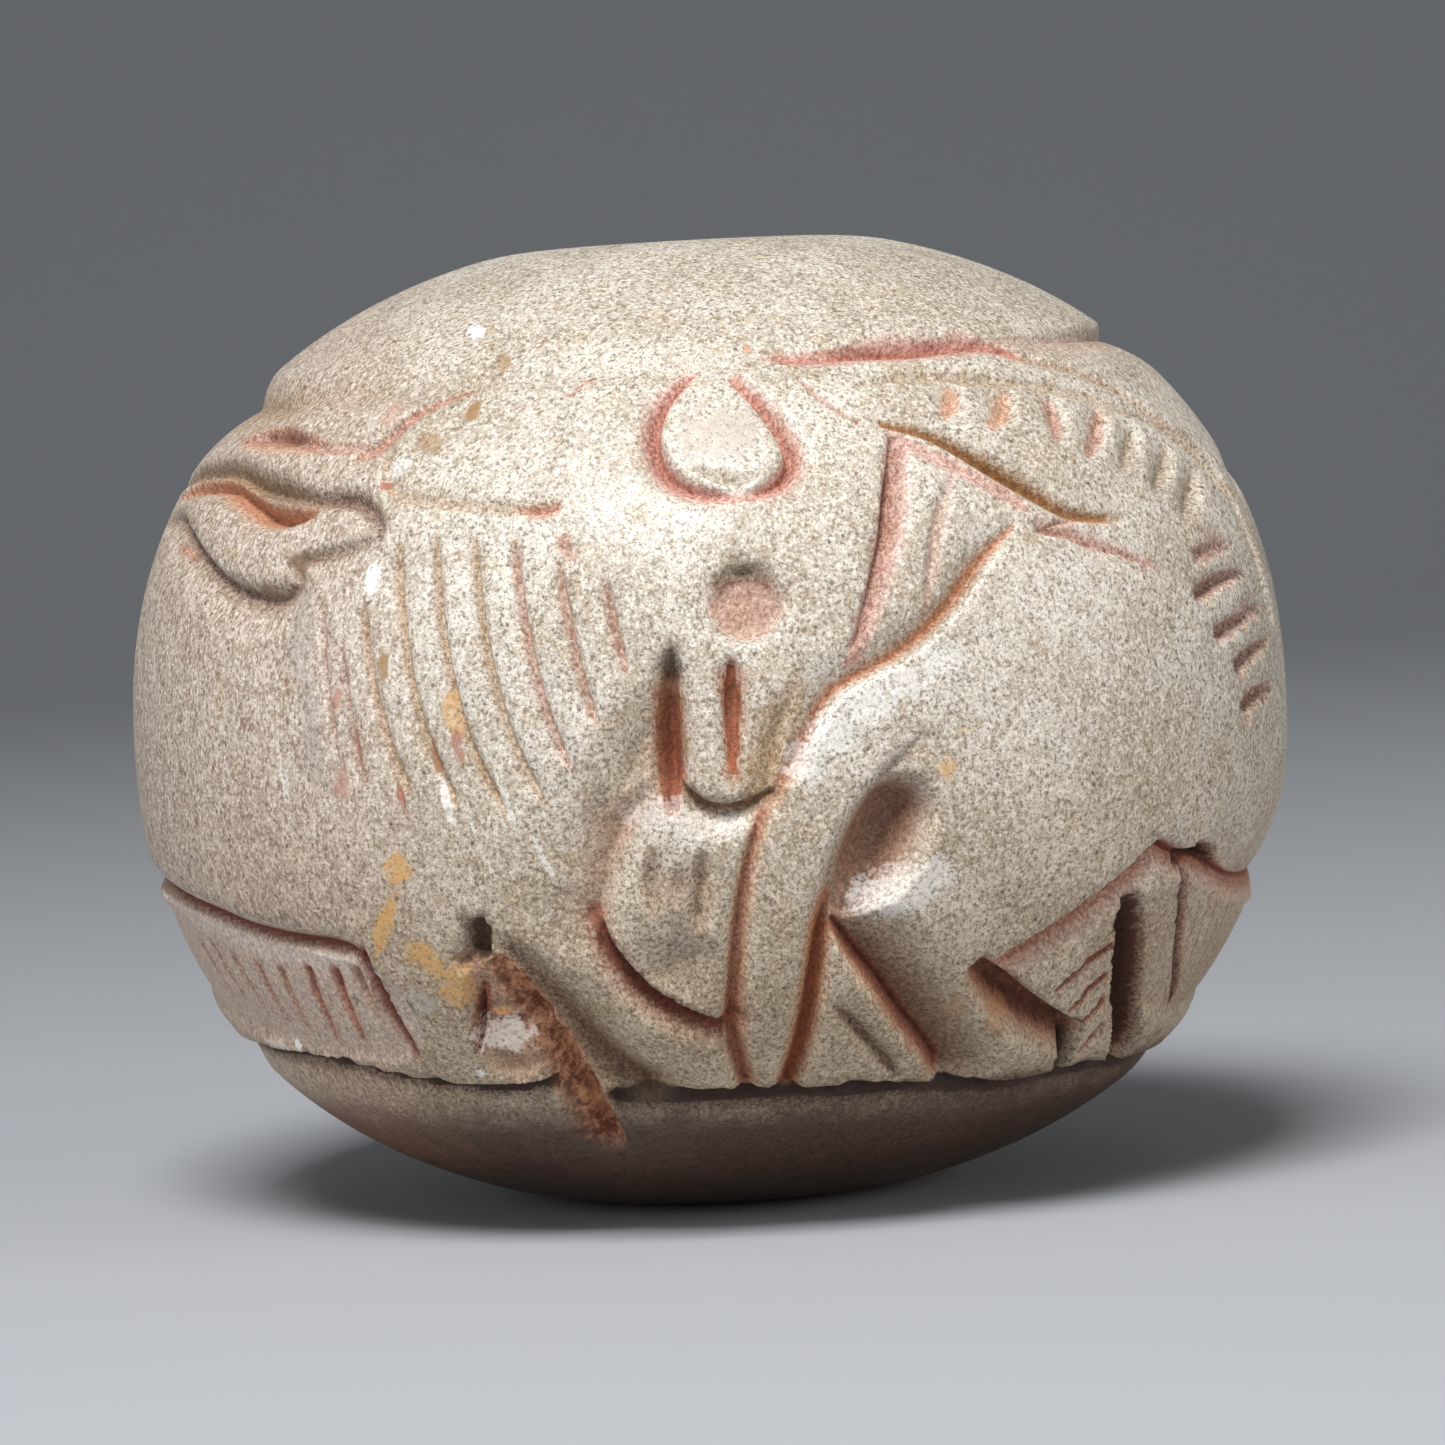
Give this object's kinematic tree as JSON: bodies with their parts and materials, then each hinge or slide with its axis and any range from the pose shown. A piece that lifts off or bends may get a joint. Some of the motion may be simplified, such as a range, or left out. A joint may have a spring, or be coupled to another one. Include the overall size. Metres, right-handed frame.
{
  "type": "intaglio bead amulet",
  "caption": "Large rounded stone bead with a straight bore, carved all round with a frieze of animals between two plain caps.",
  "frame": {"origin": "on the bore's axis, in the plane of the flat ring round the bore's lower mouth, on which the bead stands", "axes": "+Z along the bore, from the foot to the top cap; -Y towards the front, where the long-nosed head is carved; +X to the right of someone who looks at the front"},
  "size_m": [0.03, 0.03, 0.0246],
  "materials": {
    "carved stone": "worn, fine-grained cream-grey stone with red earth in the cuts"
  },
  "bodies": {
    "root": {"bead": "carved stone"}
  },
  "joints": []
}
